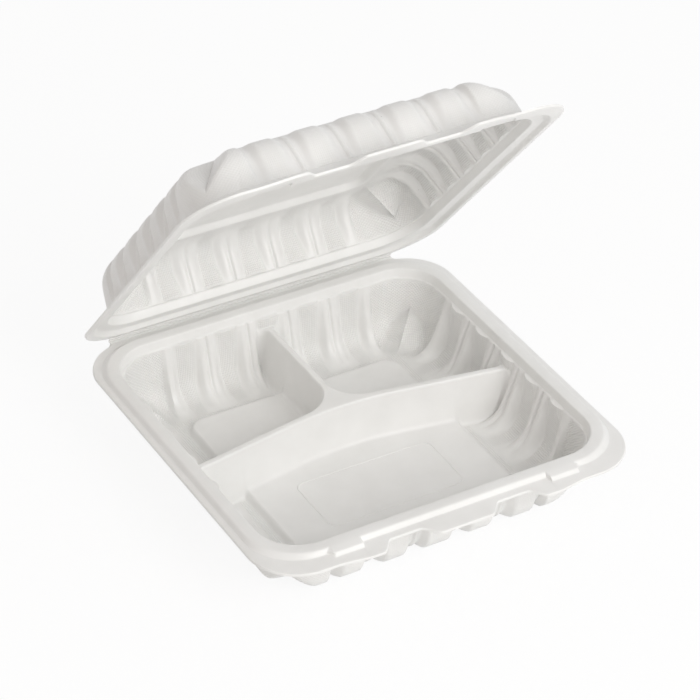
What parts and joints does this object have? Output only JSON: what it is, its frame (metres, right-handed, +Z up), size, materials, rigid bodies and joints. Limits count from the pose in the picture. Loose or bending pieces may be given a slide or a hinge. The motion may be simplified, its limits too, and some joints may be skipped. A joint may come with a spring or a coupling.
{
  "type": "three-compartment takeout container",
  "caption": "Square hinged clamshell takeout container in pale matt plastic, with fluted walls, a curved main divider, a short rear divider and a matching fluted lid.",
  "frame": {"origin": "centre of the base tray's square flange, on the surface that the tray stands on", "axes": "+X along the front edge to the right, +Y from the latch side to the hinge side, +Z up"},
  "size_m": [0.2266, 0.2427, 0.2191],
  "materials": {
    "pale_plastic": "matt warm white formed sheet, finely embossed lattice on the flutes and floor margins, plain rims"
  },
  "bodies": {
    "base": {"base_tray": "pale_plastic"},
    "lid": {"lid": "pale_plastic"}
  },
  "joints": [
    {"name": "lid_hinge", "type": "hinge", "parent": "base", "child": "lid", "pos_m": [0, 0.1165, 0.03865], "axis": [-1, 0, 0], "range_deg": [-50.6, 129.4]}
  ]
}
